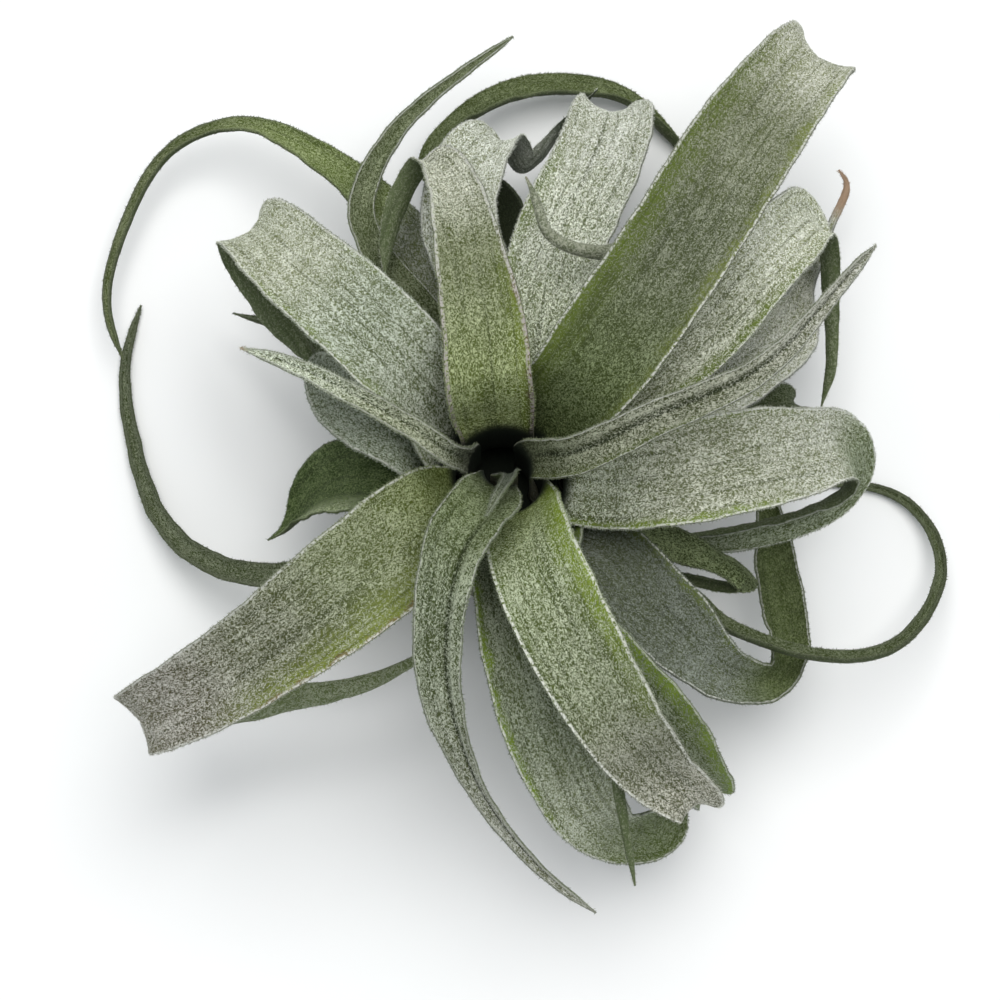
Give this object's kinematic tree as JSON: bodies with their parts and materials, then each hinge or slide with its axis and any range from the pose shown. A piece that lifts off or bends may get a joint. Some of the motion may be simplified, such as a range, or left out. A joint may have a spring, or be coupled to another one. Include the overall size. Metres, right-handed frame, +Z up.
{
  "type": "air plant",
  "caption": "Soil-free rosette plant with a leafy bulb: broad channelled leaves arch out of nested sheaths, fold at the rim and curl back under, with thin looping tendril leaves below",
  "frame": {"origin": "centre of the stem foot's flat underside, on the surface that the plant stands on", "axes": "+Z up out of the bulb; -Y toward the long leaf that curls to the front; +X right, where the loop tendril lies"},
  "size_m": [0.2019, 0.2146, 0.0883],
  "materials": {
    "young_leaf": "matt, fine pale scales",
    "grey_leaf": "matt, fine pale scales",
    "fresh_leaf": "matt, fine pale scales",
    "silver_leaf": "matt, dense pale scales",
    "dusky_leaf": "matt, fine pale scales",
    "dark_leaf": "matt, sparse pale scales",
    "stem": "matt, dry"
  },
  "bodies": {
    "root": {"leaf_01_bud": "young_leaf", "leaf_02_front_long": "grey_leaf", "leaf_03_right_long": "grey_leaf", "leaf_04_left_long": "grey_leaf", "leaf_05_front_broad": "fresh_leaf", "leaf_06_back_upright": "fresh_leaf", "leaf_07_front_left_broad": "fresh_leaf", "leaf_08_back_right_broad": "fresh_leaf", "leaf_09_left_broad": "silver_leaf", "leaf_10_right_broad": "silver_leaf", "leaf_11_front_low": "dusky_leaf", "leaf_12_right_back": "silver_leaf", "leaf_13_back_low": "silver_leaf", "leaf_14_left_low": "silver_leaf", "leaf_15_front_under": "fresh_leaf", "leaf_16_back_inner": "silver_leaf", "leaf_17_left_curl": "dusky_leaf", "leaf_18_front_right": "dusky_leaf", "leaf_19_right_dry_tip": "silver_leaf", "leaf_20_back_sickle": "dusky_leaf", "leaf_21_left_tendril": "dark_leaf", "leaf_22_right_hook": "dark_leaf", "leaf_23_back_left_tendril": "dark_leaf", "leaf_24_loop_tendril": "dark_leaf", "leaf_25_right_curl": "dusky_leaf", "leaf_26_arc_tendril": "dark_leaf", "leaf_27_left_spike": "dark_leaf", "stem": "stem"}
  },
  "joints": []
}
